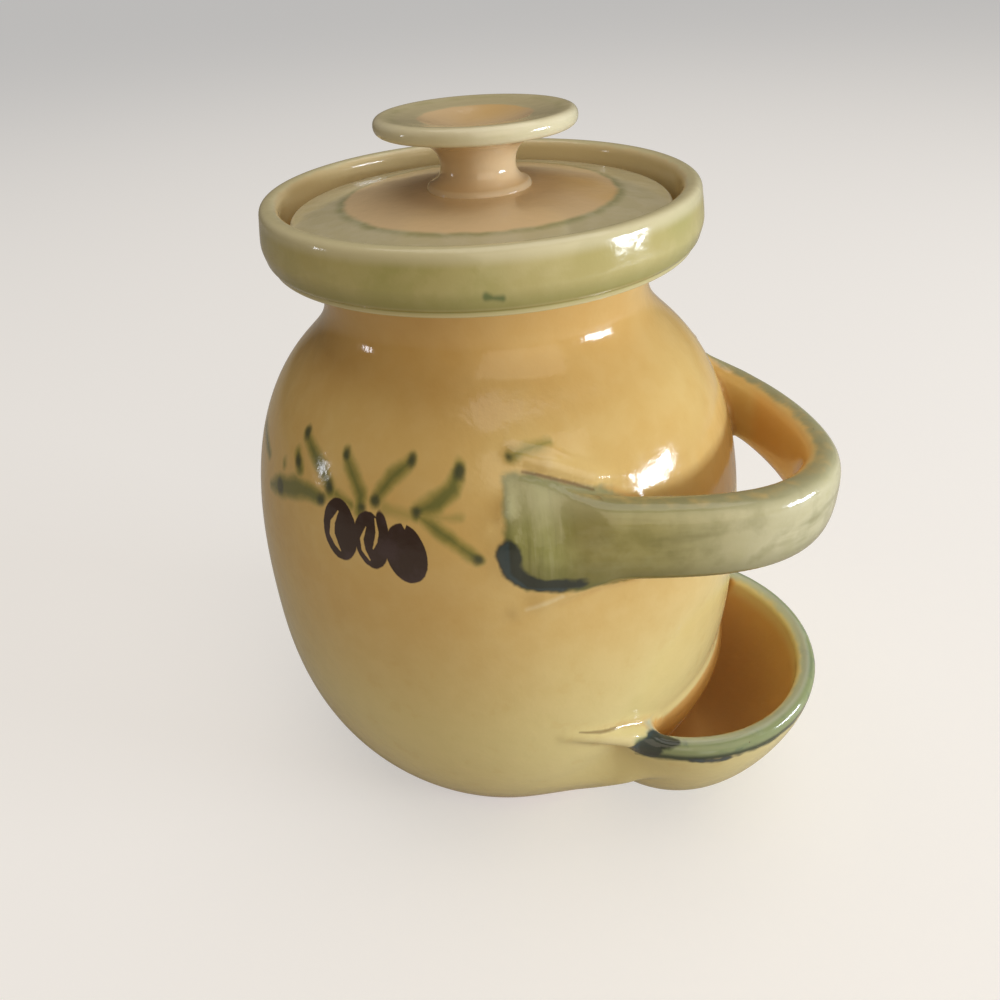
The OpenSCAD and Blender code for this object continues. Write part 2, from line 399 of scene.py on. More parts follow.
def settle(p, quads, gap, rounds):
    """Evens out a skin's points and draws them onto the surface."""
    a = quads.ravel()
    b = np.roll(quads, -1, 1).ravel()
    ends = np.r_[a, b]
    others = np.r_[b, a]
    count = np.bincount(ends, minlength=len(p))
    for i in range(rounds + 2):
        if i < rounds:
            mean = np.stack([np.bincount(ends, p[others, k], len(p)) for k in range(3)], 1)
            p = p + 0.6 * (mean / count[:, None] - p)
        d, g = slopes(gap, p)
        size = np.maximum(np.einsum("ij,ij->i", g, g), 0.2)
        p = p - np.clip(d / size, -CELL, CELL)[:, None] * g
    return p


def grow_skin(gap, low, high, cell):
    """Points and quads of the surface where a gap is zero, on a grid of cells."""
    counts = np.ceil((high - low) / cell).astype(int) + 1
    axes = [low[i] + cell * np.arange(counts[i]) for i in range(3)]
    inside = np.zeros(counts, bool)
    across = np.stack(np.meshgrid(axes[1], axes[2], indexing="ij"), -1).reshape(-1, 2)
    for i, x in enumerate(axes[0]):
        sheet = np.c_[np.full(len(across), x), across]
        inside[i] = (gap(sheet) < 0).reshape(counts[1:])
    corners = sum(
        inside[i : counts[0] - 1 + i, j : counts[1] - 1 + j, k : counts[2] - 1 + k].astype(int)
        for i in (0, 1) for j in (0, 1) for k in (0, 1)
    )
    mixed = (corners > 0) & (corners < 8)
    number = np.full(mixed.shape, -1)
    number[mixed] = np.arange(mixed.sum())
    points = low + (np.argwhere(mixed) + 0.5) * cell
    quads = []
    for axis in range(3):
        u, v = np.eye(3, dtype=int)[[(axis + 1) % 3, (axis + 2) % 3]]
        first = np.take(inside, range(counts[axis] - 1), axis)
        second = np.take(inside, range(1, counts[axis]), axis)
        at = np.argwhere(first != second)
        outward = first[tuple(at.T)]
        around = [number[tuple((at - s).T)] for s in (0 * u, u, u + v, v)]
        faces = np.stack(around, 1)
        faces[~outward] = faces[~outward][:, ::-1]
        quads.append(faces)
    quads = np.vstack(quads)
    return settle(points, quads, gap, 6), quads


def set_down(name, points, faces):
    """Makes a smooth mesh object from points in millimetres."""
    mesh = bpy.data.meshes.new(name)
    mesh.from_pydata((points * MM).tolist(), [], [list(f) for f in faces])
    mesh.update()
    mesh.shade_smooth()
    piece = bpy.data.objects.new(name, mesh)
    bpy.context.scene.collection.objects.link(piece)
    return piece


def turn(name, outline, steps=192, ring=False):
    """A turned solid. Its outline starts and ends on the axis, or closes on itself as a ring."""
    outline = np.asarray(outline, float)
    angle = 2 * math.pi * np.arange(steps) / steps
    hubs = [] if ring else [outline[0], outline[-1]]
    rows = outline if ring else outline[1:-1]
    n = len(rows)
    points = np.stack([
        rows[:, None, 0] * np.cos(angle), rows[:, None, 0] * np.sin(angle),
        np.repeat(rows[:, 1:], steps, 1),
    ], -1).reshape(-1, 3)
    points = np.vstack([points] + [[0, 0, hub[1]] for hub in hubs])
    faces = []
    for i in range(n if ring else n - 1):
        a, b = i * steps, (i + 1) % n * steps
        for j in range(steps):
            k = (j + 1) % steps
            faces.append((a + j, a + k, b + k, b + j))
    if not ring:
        for hub, row, turned in ((n * steps, 0, True), (n * steps + 1, (n - 1) * steps, False)):
            for j in range(steps):
                k = (j + 1) % steps
                pair = (row + k, row + j) if turned else (row + j, row + k)
                faces.append((hub,) + pair)
    return set_down(name, points, faces)


def lining():
    """Inside of the wall, each point of the skin moved in by the wall's thickness."""
    d = np.gradient(skin, axis=0)
    d /= np.linalg.norm(d, axis=1)[:, None]
    inner = skin + WALL_T * np.c_[-d[:, 1], d[:, 0]]
    floor_z = foot_z + FLOOR_T
    inner = inner[(inner[:, 1] > floor_z + 5) & (inner[:, 1] < NECK_Z - 3)]
    low_r = inner[0][0]
    return run_on(
        bend((0, floor_z), (low_r - 14, floor_z), (low_r - 3, floor_z), inner[0], steps=14),
        inner,
        bend(inner[-1], inner[-1] + 1.5 * (inner[-1] - inner[-2]),
             (mouth_r, NECK_Z - 1), (mouth_r, NECK_Z + 3), steps=6),
        [(mouth_r, under_z), (mouth_r + 0.15, under_z + 0.3)],
        [(mouth_r + 0.15, under_z + 2 * ROOTED), (0, under_z + 2 * ROOTED)],
    )


def hollow_out(piece, outline):
    """Cuts a turned hollow out of a piece."""
    cutter = turn("hollow", outline, steps=144)
    cut = piece.modifiers.new("hollow", "BOOLEAN")
    cut.operation = "DIFFERENCE"
    cut.object = cutter
    cut.solver = "MANIFOLD"
    shaped = bpy.data.meshes.new_from_object(
        piece.evaluated_get(bpy.context.evaluated_depsgraph_get()))
    piece.modifiers.clear()
    piece.data = shaped
    bpy.data.objects.remove(cutter)


def points_of(piece):
    """Places of a piece's points in millimetres."""
    mesh = piece.data
    flat = np.empty(3 * len(mesh.vertices))
    mesh.vertices.foreach_get("co", flat)
    return flat.reshape(-1, 3) / MM


def note(piece, name, values):
    """Keeps a number on each point, for the glaze to read."""
    held = piece.data.attributes.new(name, "FLOAT", "POINT")
    held.data.foreach_set("value", np.asarray(values, np.float32))


def even_edges(piece):
    """Notes how sharply the skin turns at each point, in 1/mm: above zero on edges and below it
    in hollows."""
    mesh = piece.data
    points = points_of(piece)
    normals = np.empty(3 * len(points))
    mesh.vertices.foreach_get("normal", normals)
    normals = normals.reshape(-1, 3)
    pairs = np.empty(2 * len(mesh.edges), int)
    mesh.edges.foreach_get("vertices", pairs)
    a, b = pairs.reshape(-1, 2).T
    d = points[b] - points[a]
    size = np.maximum(np.einsum("ij,ij->i", d, d), 1e-6)
    turned = [-2 * np.einsum("ij,ij->i", n, v) / size for n, v in ((normals[a], d), (normals[b], -d))]
    both = np.bincount(np.r_[a, b], np.r_[turned[0], turned[1]], len(points))
    count = np.maximum(np.bincount(np.r_[a, b], minlength=len(points)), 1)
    bend_of = np.clip(both / count, -2, 2)
    for _ in range(2):
        mean = np.bincount(np.r_[a, b], bend_of[np.r_[b, a]], len(points)) / count
        bend_of = (bend_of + mean) / 2
    note(piece, "edge", bend_of)


margin = 2 * CELL
clay_points, clay_quads = grow_skin(
    clay_gap,
    np.array([-belly_r, -belly_r, cup_lift]) - margin,
    np.array([cup_high[0], belly_r, under_z + ROOTED]) + margin,
    CELL,
)
jar = set_down("glazed_jar", clay_points, clay_quads)
hollow_out(jar, lining())


# The strap's paint is all above one height and the lip's below another
STRAP_ABOVE, LIP_BELOW = 70, 60
# Where the green is brushed on the strap and on the cup's lip, and where it ran together
STRAP_FROM, STRAP_TO = -60.3, 51.5
STRAP_INNER = 1.2
LIP_FROM, LIP_TO = -86, 84
LIP_DOWN, LIP_OVER = 2.3, 4.9
STRAP_LOW, STRAP_HIGH = 8.8, 12.0
STRAP_POOL = [(60.0, 95.8, 0, 2.3), (59.7, 93.0, 0, 2.0), (57.8, 90.6, 0.2, 1.7),
              (55.0, 89.1, 0.4, 1.4), (51.5, 88.4, 1.0, 1.2), (48.0, 88.5, 1.7, 0.8),
              (44.5, 89.0, 2.6, 0.5)]


def strap_paint(p):
    """How far inside the brushed border of the strap a point lies, in mm."""
    run, out, up = strap_place(p)
    width, _ = strap_size(run)
    degrees = np.degrees(np.arctan2(p[:, 1], p[:, 0]))
    along = np.radians(np.minimum(degrees - STRAP_FROM, STRAP_TO - degrees)) * belly_r
    below = STRAP_LOW + up
    above = np.minimum(width / 2 + 0.4, STRAP_HIGH) - up
    # The paint laps further over the inner edge towards the near end, and its low corner is cut off
    over = out + STRAP_INNER + 3 * ease(-run, -14, -6) + 2.6 * ease(-run, -62, -40)
    corner = 0.7 * (along + below) - 2.4
    return np.min([along, over, below, above, corner], axis=0)


def lip_paint(p):
    """How far inside the brushed border of the cup's lip a point lies, and way over the lip, in mm."""
    r, angle, z = cup_place(p)
    off, up = r - (cup_r - lip_r), z - (cup_h - lip_r)
    over = lip_r * np.arctan2(np.maximum(up, 0), off)
    over = np.where(up < 0, np.where(off > 0, up, math.pi * lip_r - up), over)
    degrees = np.degrees(angle)
    along = np.radians(np.minimum(degrees - LIP_FROM, LIP_TO - degrees)) * cup_r
    near = np.minimum(6 - np.hypot(off, up), cup_h + 1.4 - z)
    return np.minimum(np.minimum(np.minimum(over + LIP_DOWN, LIP_OVER - over), along), near), over


def on_lip(degrees, over):
    """Place on the cup's lip: angle from +X, and way over the lip from its outside in mm."""
    a, b = math.radians(degrees), max(over, 0) / lip_r
    r = cup_r - lip_r + lip_r * math.cos(b)
    z = cup_h - lip_r + lip_r * math.sin(b) + min(over, 0)
    return np.array([cup_x + r * math.cos(a), r * math.sin(a), z])


# Dark runs on the cup's lip: angle, way over the lip, radius
LIP_POOLS = [[(-87, 3.2, 1.7), (-86, 0.8, 2.4), (-81, 0.8, 2.6), (-80, 2.8, 2.2), (-76, 2.6, 1.7),
              (-71, 2.8, 0.6)],
             [(-66, -2.2, 0.5), (-58, -2.5, 0.9), (-51, -2.4, 0.8), (-46, -2.1, 0.4)]]

jar_points = points_of(jar)
run, out, up = strap_place(jar_points)
cup_way, cup_angle, height = cup_place(jar_points)
lip_inside, over = lip_paint(jar_points)
from_axis = np.hypot(jar_points[:, 0], jar_points[:, 1])
outside = from_axis > np.interp(height, wall_rings, wall_radii) - 2
note(jar, "brushed", np.maximum(np.where(height > STRAP_ABOVE, strap_paint(jar_points), -FAR),
                                np.where(height < LIP_BELOW, lip_inside, -FAR)))
# Way along and across the brush, in mm. The lip's comes far past the strap's, so no mark repeats
LIP_RUN = 100
note(jar, "along", np.where(height > STRAP_ABOVE, run, LIP_RUN + cup_angle * cup_r))
note(jar, "across", np.where(height > STRAP_ABOVE, up - out, over))
pools = [coil_gap(jar_points, *coils(STRAP_POOL, -1))]
for rows in LIP_POOLS:
    line = np.array([on_lip(a, over) for a, over, _ in rows])
    pools.append(coil_gap(jar_points, line, np.array([t for *_, t in rows])))
note(jar, "pooled", -np.min(pools, axis=0))
# Painted shade: orange-brown deep in the cup, below the edge of the smeared clay where the lip's shadow
# falls, and on the strap's inner face, which lie in shade
_, _, cup_side = near_line(np.stack([cup_way, height], 1), bowl)
in_cup = (cup_side < 0) * ease(cup_r - CUP_T + 0.6 - cup_way, 0, 1.6)
by_wall = ease(7 - wall_gap(jar_points), 0, 2) * ease(height, 20, 30)
by_wall = by_wall * (cup_side < 0) * ease(cup_r - lip_r - cup_way, 0, 1.2)
in_cup = np.maximum(in_cup * ease(height, 2, 4) * (height < cup_h), by_wall)
in_cup = in_cup * ease(smear_edge(jar_points) - height, 0, 1.2)
in_strap = ease(-out, STRAP_INNER, STRAP_INNER + 2) * ease(STRAP_W / 2 + 1 - np.abs(up), 0, 2)
in_strap = in_strap * ease(from_axis - belly_r, 0, 3) * (height > STRAP_ABOVE)
note(jar, "deep", np.where(outside, np.maximum(in_cup, 0.75 * in_strap), 0))
# Painted shade: a dark line in the crease where the smeared clay ends on the inside of the cup
SEAM_OUT, SEAM_HALF = 4.5, 2.0
off_seam = np.abs(wall_gap(jar_points) - SEAM_OUT)
note(jar, "seam", in_cup * ease(SEAM_HALF - off_seam, 0, SEAM_HALF) * ease(height, 8, 14))

rim = turn("heavy_rim", run_on(
    bend((crest_r - 0.6, under_z), (crest_r + 0.5, under_z),
         (crest_r + 1.0, under_z + 0.1), (crest_r + 1.1, under_z + 0.6), steps=6),
    bend((crest_r + 1.1, under_z + 0.6), (crest_r + 1.2, under_z + 1.0),
         (crest_r + 1.1, under_z + 1.1), (crest_r + 1.3, under_z + 1.3), steps=5),
    bend((crest_r + 1.3, under_z + 1.3), (rim_r - 0.6, under_z + 1.7),
         (rim_r - 0.5, under_z + 2.2), (rim_r - 0.35, under_z + 3), steps=8),
    bend((rim_r - 0.35, under_z + 3), (rim_r, under_z + 4.2),
         (rim_r + 0.05, under_z + 4.8), (rim_r - 0.05, under_z + 5.6), steps=8),
    bend((rim_r - 0.05, under_z + 5.6), (rim_r - 0.2, under_z + 7),
         (rim_r - 0.6, jar_h - 2.4), (rim_r - 0.75, jar_h - 1.4), steps=8),
    bend((rim_r - 0.75, jar_h - 1.4), (rim_r - 0.95, jar_h - 0.4),
         (rim_r - 1.6, jar_h), (crest_r, jar_h), steps=10),
    bend((crest_r, jar_h), (gallery_r + 0.4, jar_h),
         (gallery_r, jar_h - 0.9), (gallery_r, jar_h - 2), steps=10),
    bend((gallery_r, jar_h - 2), (gallery_r, seat_z + 2),
         (gallery_r, seat_z), (gallery_r - 1.2, seat_z), steps=10),
    bend((gallery_r - 1.2, seat_z), (mouth_r + 3, seat_z),
         (mouth_r, seat_z), (mouth_r, seat_z - 1.2), steps=8),
    bend((mouth_r, seat_z - 1.2), (mouth_r, seat_z - 2),
         (mouth_r, under_z + 0.3), (mouth_r, under_z), steps=3),
    [(NECK_R + 0.5, under_z)],
), ring=True)

land_r = mouth_r + LAND_IN
lid_edge_z = lid_z0 + LID_EDGE_T
lid = turn("lid_dome", run_on(
    [(0, lid_z0 + LID_HOLLOW + 0.4)],
    bend((12, lid_z0 + LID_HOLLOW + 0.3), (20, lid_z0 + LID_HOLLOW + 0.2),
         (land_r - 5, lid_z0 + LID_HOLLOW), (land_r - 1, lid_z0 + 0.3), steps=12),
    bend((land_r - 1, lid_z0 + 0.3), (land_r - 0.6, lid_z0),
         (land_r, lid_z0), (land_r + 0.5, lid_z0), steps=4),
    bend((lid_r - 1.4, lid_z0), (lid_r - 0.4, lid_z0),
         (lid_r, lid_z0 + 0.5), (lid_r, lid_z0 + 1.5), steps=6),
    bend((lid_r, lid_z0 + 1.5), (lid_r, lid_edge_z - 0.8),
         (lid_r - 0.2, lid_edge_z - 0.1), (lid_r - 1.2, lid_edge_z + 0.1), steps=8),
    bend((lid_r - 1.2, lid_edge_z + 0.1), (lid_r - 12, lid_edge_z + 1.9),
         (KNOB_FOOT_R + 10, lid_top_z - 0.5), (KNOB_FOOT_R - 0.5, lid_top_z), steps=30),
    [(0, lid_top_z)],
))

waist_z = lid_top_z + 4.2
rim_z = knob_top_z - KNOB_RIM_T
knob = turn("trumpet_knob", run_on(
    [(0, lid_top_z)],
    bend((KNOB_FOOT_R - 0.1, lid_top_z - 0.2), (KNOB_FOOT_R, lid_top_z + 0.2),
         (KNOB_FOOT_R - 0.2, lid_top_z + 0.9), (KNOB_FOOT_R - 1.0, lid_top_z + 1.1), steps=10),
    bend((KNOB_FOOT_R - 1.0, lid_top_z + 1.1), (KNOB_NECK_R + 0.9, lid_top_z + 1.6),
         (KNOB_NECK_R, waist_z - 1.8), (KNOB_NECK_R, waist_z), steps=12),
    bend((KNOB_NECK_R, waist_z), (KNOB_NECK_R, waist_z + 4.2),
         (knob_r - 8, rim_z - 1.2), (knob_r - 1, rim_z), steps=20),
    bend((knob_r - 1, rim_z), (knob_r - 0.2, rim_z + 0.3),
         (knob_r, rim_z + 0.9), (knob_r, rim_z + KNOB_RIM_T / 2), steps=8),
    bend((knob_r, rim_z + KNOB_RIM_T / 2), (knob_r, knob_top_z - 0.5),
         (knob_r - 0.8, knob_top_z), (knob_r - 1.6, knob_top_z), steps=8),
    bend((knob_r - 1.6, knob_top_z), (knob_r - 3, knob_top_z - 0.1),
         (knob_r - 5, knob_top_z - 0.5), (DISH_R, knob_top_z - 0.9), steps=10),
    bend((DISH_R, knob_top_z - 0.9), (DISH_R - 1.5, knob_top_z - 1.3),
         (KNOB_NECK_R - 1, knob_top_z - DISH_DEPTH), (0, knob_top_z - DISH_DEPTH), steps=20),
))

PIECES = [
    (jar, "jar", "yellow_glaze", ["jar_body", "strap_loop", "drip_cup"]),
    (rim, "jar", "green_glaze", ["rim_gallery"]),
    (lid, "lid", "yellow_glaze", ["lid_plate"]),
    (knob, "lid", "yellow_glaze", ["lid_knob"]),
]
for piece, body, finish, nodes in PIECES:
    even_edges(piece)
    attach(piece, body)
    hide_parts(*nodes)


def linear(code):
    """Linear colour from an sRGB hex value."""
    levels = [int(code[i : i + 2], 16) / 255 for i in (1, 3, 5)]
    return tuple(v / 12.92 if v <= 0.04045 else ((v + 0.055) / 1.055) ** 2.4
                 for v in levels) + (1.0,)


def add(tree, kind, inputs=(), out=0, **settings):
    """Adds a node, sets it, fills or links its inputs and returns one of its outputs."""
    node = tree.nodes.new("ShaderNode" + kind)
    for name, value in settings.items():
        setattr(node, name, value)
    for key, value in inputs.items() if isinstance(inputs, dict) else enumerate(inputs):
        if isinstance(value, bpy.types.NodeSocket):
            tree.links.new(value, node.inputs[key])
        else:
            node.inputs[key].default_value = value
    return node.outputs[out] if len(node.outputs) else node


def start(name):
    """A material with an empty tree, its output and places on the piece in millimetres."""
    material = bpy.data.materials.new(name)
    material.use_nodes = True
    tree = material.node_tree
    tree.nodes.clear()
    place = add(tree, "VectorMath", {0: add(tree, "TexCoord", out="Object"), "Scale": 1 / MM},
                operation="SCALE")
    return material, tree, place


def coats(tree, colour, layers):
    """Lays coats over a colour. Each has what it follows, where it starts, where it is full, how strong
    it gets and its own colour."""
    if isinstance(colour, str):
        colour = linear(colour)
    for value, first, full, most, tint in layers:
        share = add(tree, "MapRange", [value, first, full, 0.0, most], interpolation_type="SMOOTHSTEP")
        tint = linear(tint) if isinstance(tint, str) else tint
        colour = add(tree, "Mix", {0: share, 6: colour, 7: tint}, out=2, data_type="RGBA")
    return colour


def glaze(name, painted):
    """Bright, glossy yellow glaze on pale clay: it breaks pale over edges, gathers brown in hollows
    and is paler low on the jar; the brown in hollows is partly painted shade, and the orange-brown in
    the cup and the dark seam line are painted shade; painted adds the colours brushed under it."""
    material, tree, place = start(name)
    look = {"place": place}
    for kept in ("edge", "deep", "along", "across", "brushed", "pooled", "seam"):
        look[kept] = add(tree, "Attribute", out="Fac", attribute_name=kept)
    for kept, size, detail in (("cloud", 30, 2), ("mottle", 5, 4), ("grain", 1.2, 3), ("wander", 4, 2)):
        look[kept] = add(tree, "TexNoise", {"Vector": place, "Scale": 1 / size, "Detail": detail})
    look["height"] = add(tree, "SeparateXYZ", [place], out=2)

    colour = coats(tree, "#DEBD77", [
        (look["cloud"], 0.40, 0.62, 0.5, "#E5CC88"),
        (look["height"], 88, 42, 0.90, "#E4D89A"),
        (look["mottle"], 0.42, 0.66, 0.12, "#F0DDA2"),
        (look["mottle"], 0.42, 0.30, 0.10, "#CFA050"),
        # Oranger at the neck: partly glaze lying thick in its hollow, partly painted shade under the
        # rim
        (look["height"], 112, 127, 0.30, "#D9A75A"),
        # Brown where the skin turns inward: partly glaze lying thicker in hollows, partly painted shade
        (look["edge"], -0.04, -0.30, 0.40, "#BC8038"),
        # Painted shade: orange-brown deep in the cup and on the strap's inner face
        (look["deep"], 0.0, 1.0, 0.75, "#DDA456"),
        # Painted shade: a dark line in the crease along the seam in the cup
        (look["seam"], 0.2, 1.0, 0.60, "#7C4A1C"),
        (look["edge"], 0.10, 0.50, 0.65, "#F5EAC8"),
    ])
    colour = painted(tree, look, colour)

    # Iron specks from the clay, up to 0.5 mm wide and about one in each 9 mm
    near_speck = {"Vector": place, "Scale": 1 / 9, "Randomness": 1.0}
    speck = add(tree, "TexVoronoi", near_speck)
    kind = add(tree, "SeparateColor", [add(tree, "TexVoronoi", near_speck, out=1)])
    size = add(tree, "MapRange", [kind, 0.35, 1.0, 0.0, 0.026])
    dot = add(tree, "Math", [size, speck], operation="SUBTRACT")
    colour = coats(tree, colour, [(dot, 0.0, 0.010, 0.75, "#6B4526")])

    # The glaze lies in low ripples a few mm apart, which break up its reflections
    ripple = add(tree, "Math", [look["mottle"], 6.0, look["grain"]], operation="MULTIPLY_ADD")
    bump = add(tree, "Bump", {"Height": ripple, "Distance": 0.022 * MM, "Strength": 0.9})
    shine = add(tree, "MapRange", [look["mottle"], 0.3, 0.7, 0.09, 0.15])
    shader = add(tree, "BsdfPrincipled", {
        "Base Color": colour, "Roughness": shine, "IOR": 1.5, "Normal": bump})
    add(tree, "OutputMaterial", {"Surface": shader})
    return material


def strap_and_lip(tree, look, colour):
    """Copper green brushed lengthwise on the strap and round the lip, up and down at the strap's near
    end; it breaks pale on edges and runs together into blue-black pools. Painted light lies in it too:
    the strap pales along its loop and on its top and darkens underneath, and the lip has a painted
    highlight along its top."""
    # Brush marks 20 mm long and 4.5 wide on the strap and lip, and 1.2 by 15 across the near end
    spot = add(tree, "CombineXYZ", [look["along"], look["across"], 0.0])
    marks = []
    for scale in ((1 / 20, 1 / 4.5, 1), (1 / 1.2, 1 / 15, 1)):
        stretched = add(tree, "VectorMath", [spot, scale], operation="MULTIPLY")
        marks.append(add(tree, "TexNoise", {"Vector": stretched, "Scale": 1.0, "Detail": 3}))
    past_end = add(tree, "MapRange", [look["along"], 7.0, 13.0])
    streak = add(tree, "Mix", {0: past_end, 2: marks[1], 3: marks[0]}, data_type="FLOAT")
    near_end = add(tree, "MapRange", [look["along"], 14.0, 4.0])

    olive = coats(tree, "#A69E62", [
        (look["wander"], 0.42, 0.62, 0.6, "#958E50"),
        (near_end, 0.0, 1.0, 0.55, "#959C5C"),
        # Painted light: the strap pales along its loop, where the side light falls on it
        (look["along"], 20.0, 50.0, 0.85, "#DAD7B4"),
        (look["mottle"], 0.48, 0.74, 0.30, "#BDB988"),
        (look["mottle"], 0.52, 0.26, 0.30, "#827F49"),
        (streak, 0.50, 0.30, 0.25, "#C2BF90"),
        (streak, 0.50, 0.76, 0.38, "#747240"),
        # Painted light on the strap's upper part, and below it a darker lower part that is partly
        # painted shade
        (look["across"], 0.0, 9.0, 0.5, "#C9C79F"),
        (look["across"], -4.0, -12.0, 0.65, "#6C6A38"),
        (look["edge"], 0.16, 0.50, 0.55, "#D8D6B0"),
        (look["brushed"], 2.2, 0.0, 0.45, "#5C623A"),
    ])
    sage = coats(tree, "#96A276", [
        (look["mottle"], 0.50, 0.66, 0.7, "#7B8D6C"),
        (look["mottle"], 0.58, 0.68, 0.6, "#4F6055"),
        (streak, 0.48, 0.36, 0.5, "#C2CBAE"),
        (streak, 0.54, 0.66, 0.6, "#7F9070"),
        # Painted highlight: a pale band along the top of the lip
        (look["across"], 2.2, 3.4, 0.55, "#DCE2D0"),
        (look["across"], 0.2, -1.3, 0.92, "#37432F"),
    ])
    green = coats(tree, olive, [(look["height"], STRAP_ABOVE, LIP_BELOW, 1.0, sage)])
    stray = add(tree, "Math", [look["wander"], 2.4, -1.2], operation="MULTIPLY_ADD")
    inside = add(tree, "Math", [look["brushed"], stray], operation="ADD")
    pooled = add(tree, "Math", [look["pooled"], stray], operation="ADD")
    # A pool is steel blue along its free side and near black where it meets the brushwork
    free = add(tree, "Math", [0.8, look["brushed"]], operation="SUBTRACT")
    free = add(tree, "Math", [free, pooled], operation="MINIMUM")
    return coats(tree, colour, [
        (inside, -0.9, 0.7, 1.0, green),
        (pooled, -0.6, 0.4, 0.95, "#393F3B"),
        (free, -0.1, 0.7, 0.65, "#485B62"),
    ])


# The olive sprig on the wall: angle from +X, height and half width of each brush stroke, in turn
LEAVES = [
    [(-138.2, 102.0, 1.0), (-132.5, 101.4, 1.3), (-127.0, 100.1, 0.8)],
    [(-117.6, 101.9, 0.7), (-117.4, 101.7, 0.7)],
    [(-112.7, 105.4, 1.1), (-110.6, 103.2, 1.3)],
    [(-123.5, 95.2, 0.9), (-118.0, 97.2, 2.2), (-111.5, 99.4, 2.0), (-106.0, 100.2, 1.7),
     (-101.8, 100.0, 1.1)],
    [(-111.7, 109.5, 0.9), (-107.0, 107.2, 1.0), (-103.2, 105.4, 1.4), (-99.3, 102.6, 1.2)],
    [(-97.8, 102.2, 0.8), (-93.5, 101.3, 0.7)],
    [(-97.2, 109.2, 0.8), (-93.4, 105.6, 1.3), (-91.3, 103.4, 1.6), (-91.3, 100.4, 0.9)],
    [(-80.2, 110.3, 1.0), (-84.4, 107.2, 1.3), (-87.8, 103.1, 1.0)],
    [(-69.3, 109.8, 0.9), (-70.7, 106.4, 1.4), (-73.6, 104.1, 1.7), (-78.0, 102.5, 1.1)],
    [(-78.2, 102.6, 0.7), (-78.1, 101.5, 0.7)],
    [(-77.7, 101.7, 0.6), (-71.6, 98.4, 1.4), (-65.7, 94.5, 1.1)],
    [(-58.3, 111.2, 0.7), (-55.0, 112.0, 0.35), (-48.7, 112.3, 0.35)],
]
FAINT = [
    [(-85.2, 102.2, 1.2), (-78.6, 101.5, 0.9)],
    [(-76.5, 101.7, 0.7), (-69.1, 101.8, 0.8)],
    [(-102.0, 99.8, 0.9), (-99.0, 101.8, 0.9)],
]
# Where a stroke's colour dried darkest
LEAF_DRIED = [(-111.5, 109.6, 0.9), (-100.0, 103.0, 1.0), (-101.9, 99.9, 1.1), (-118.0, 97.0, 1.3),
              (-112.0, 104.4, 1.0), (-97.1, 109.1, 0.6), (-80.2, 110.3, 0.8), (-87.7, 103.2, 0.9),
              (-69.4, 109.2, 0.8), (-78.2, 102.3, 0.8), (-65.8, 94.6, 0.9), (-58.5, 111.2, 0.35),
              (-90.7, 101.4, 0.6)]
# Olives: angle, height, half width, half height and lean, then the bare crescents left in them
OLIVES = [(-96.0, 95.9, 4.6, 5.8, -0.14), (-88.2, 95.7, 4.0, 5.3, -0.16),
          (-85.6, 97.0, 1.7, 4.6, -0.14), (-80.3, 94.5, 4.5, 5.6, -0.16)]
CRESCENTS = [
    [(-96.8, 99.2, 0.15), (-98.0, 96.8, 0.6), (-98.0, 94.6, 0.7), (-96.7, 92.9, 0.5),
     (-95.6, 91.8, 0.1)],
    [(-89.4, 98.0, 0.1), (-90.3, 95.6, 0.4), (-89.8, 93.6, 0.45), (-88.3, 91.9, 0.15)],
    [(-87.3, 99.9, 0.15), (-86.7, 97.6, 0.35), (-86.9, 95.8, 0.35), (-87.5, 94.3, 0.1)],
    [(-84.2, 99.2, 0.1), (-84.0, 100.8, 0.7), (-83.8, 102.4, 1.3)],
    [(-80.6, 99.2, 0.1), (-80.8, 100.6, 0.8)],
]


# Thin lines where the joins were pressed down: painted shade in the creases and a painted highlight on
# the ridge under the strap
CREASE_SHADOWS = [
    [(-55.8, 108.6, 0.05), (-52.3, 107.9, 0.16), (-45.4, 105.7, 0.18), (-41.5, 104.2, 0.05)],
    [(-47.3, 48.3, 0.05), (-42.7, 46.8, 0.22), (-38.8, 46.0, 0.1)],
]
RIM_FLAW = [[(-61.0, 139.6, 0.7), (-59.6, 139.3, 0.3), (-57.6, 139.1, 0.5)]]
RIDGE_HIGHLIGHT = [[(-57.2, 84.1, 0.05), (-53.7, 85.1, 0.18), (-50.5, 86.2, 0.1)]]


